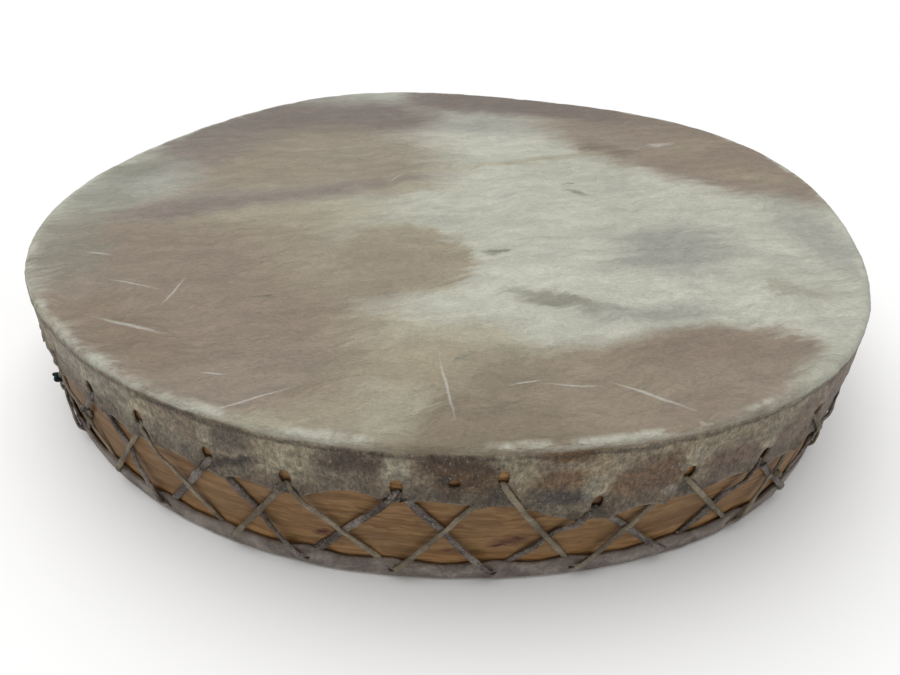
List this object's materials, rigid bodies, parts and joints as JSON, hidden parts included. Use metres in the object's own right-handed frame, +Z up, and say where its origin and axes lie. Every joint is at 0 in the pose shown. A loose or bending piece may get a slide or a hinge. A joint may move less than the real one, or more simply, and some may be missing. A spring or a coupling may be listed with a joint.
{
  "type": "frame drum",
  "caption": "Shallow double-headed frame drum: a bent-wood hoop with a rawhide head on each face, laced to each other round the wall.",
  "frame": {"origin": "middle of the back head's underside, where the drum rests", "axes": "+Z up through the batter head; +X and +Y across the heads"},
  "size_m": [0.4862, 0.459, 0.079],
  "materials": {
    "hoop_wood": "bare planed softwood, dry and unvarnished",
    "batter_hide": "scraped rawhide, mottled brown and cream, dull sheen",
    "back_hide": "rawhide, grey-brown, rough",
    "dark_lace": "twisted rawhide lace, dark and fuzzy",
    "light_lace": "narrow rawhide lace, pale and smooth",
    "cord": "black-green twisted cord"
  },
  "bodies": {
    "root": {"hoop": "hoop_wood", "batter_head": "batter_hide", "back_head": "back_hide", "dark_lace": "dark_lace", "light_lace": "light_lace", "light_lace_knot": "light_lace", "dark_lace_knot": "dark_lace", "cord_tie": "cord"}
  },
  "joints": []
}
